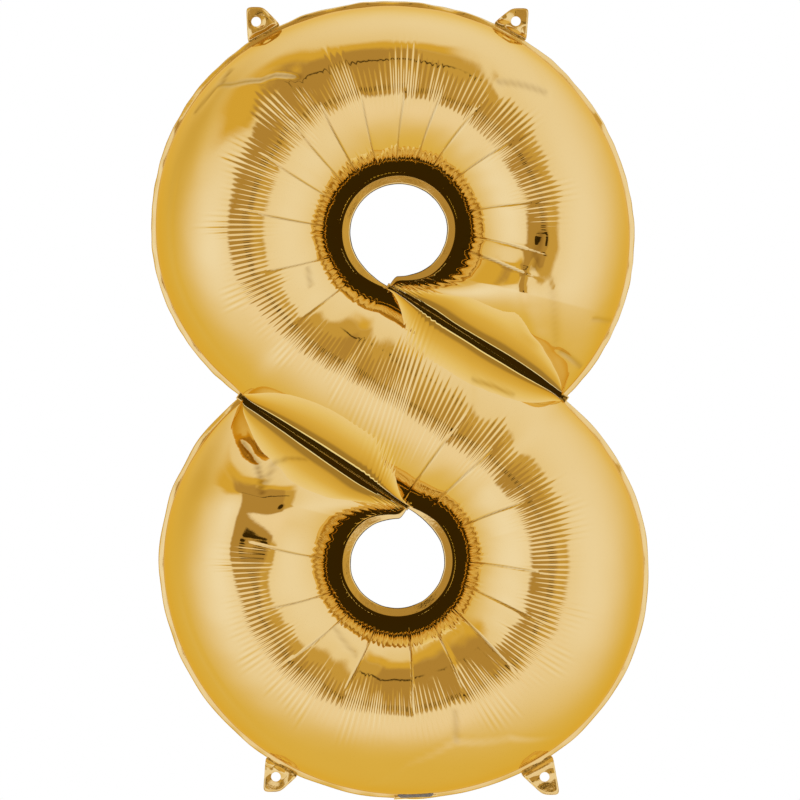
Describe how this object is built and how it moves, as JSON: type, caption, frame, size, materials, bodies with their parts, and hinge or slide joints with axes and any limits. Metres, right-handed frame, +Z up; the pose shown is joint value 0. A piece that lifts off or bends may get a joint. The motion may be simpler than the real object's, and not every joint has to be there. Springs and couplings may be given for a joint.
{
  "type": "foil number balloon",
  "caption": "Inflated gold foil balloon in the shape of the figure 8, with hanging tabs and a self-sealing inflation neck.",
  "frame": {"origin": "middle of the figure's width and depth, at its lowest point", "axes": "+Z up the figure, +X to the right seen from the front, -Y out of the front"},
  "size_m": [0.518, 0.1974, 0.8298],
  "materials": {
    "gold_foil": "mirror-bright gold metallised film",
    "gold_weld": "mirror-bright gold metallised film, two layers fused",
    "tab_foil": "crinkled gold metallised film, two layers fused",
    "neck_foil": "crinkled gold metallised film",
    "valve_film": "clear matt polyethylene film"
  },
  "bodies": {
    "balloon": {"front_foil_panel": "gold_foil", "rear_foil_panel": "gold_foil", "outer_weld_band": "gold_weld", "upper_hole_weld_band": "gold_weld", "lower_hole_weld_band": "gold_weld", "upper_slit_weld": "gold_weld", "lower_slit_weld": "gold_weld", "valve_front_film": "valve_film", "valve_rear_film": "valve_film"},
    "inflation_neck": {"neck_front_film": "neck_foil", "neck_rear_film": "neck_foil"},
    "hanging_tab_top_left": {"hanging_tab_top_left": "tab_foil"},
    "hanging_tab_top_right": {"hanging_tab_top_right": "tab_foil"},
    "hanging_tab_bottom_left": {"hanging_tab_bottom_left": "tab_foil"},
    "hanging_tab_bottom_right": {"hanging_tab_bottom_right": "tab_foil"}
  },
  "joints": [
    {"name": "hanging_tab_top_left_flex", "type": "hinge", "parent": "balloon", "child": "hanging_tab_top_left", "pos_m": [-0.14213, 0, 0.79675], "axis": [0.8742, 0, 0.4855], "range_deg": [-75, 75], "stiffness_Nm_per_rad": 0.00005},
    {"name": "hanging_tab_top_right_flex", "type": "hinge", "parent": "balloon", "child": "hanging_tab_top_right", "pos_m": [0.11507, 0, 0.79896], "axis": [0.8771, 0, -0.4803], "range_deg": [-75, 75], "stiffness_Nm_per_rad": 0.00005},
    {"name": "hanging_tab_bottom_left_flex", "type": "hinge", "parent": "balloon", "child": "hanging_tab_bottom_left", "pos_m": [-0.12348, 0, 0.03327], "axis": [-0.8704, 0, 0.4924], "range_deg": [-75, 75], "stiffness_Nm_per_rad": 0.00005},
    {"name": "hanging_tab_bottom_right_flex", "type": "hinge", "parent": "balloon", "child": "hanging_tab_bottom_right", "pos_m": [0.14263, 0, 0.03522], "axis": [-0.8686, 0, -0.4955], "range_deg": [-75, 75], "stiffness_Nm_per_rad": 0.00005},
    {"name": "neck_fold", "type": "hinge", "parent": "balloon", "child": "inflation_neck", "pos_m": [0.01636, 0.0012, 0.00205], "axis": [-0.9993, 0, -0.0365], "range_deg": [0, 102]}
  ]
}
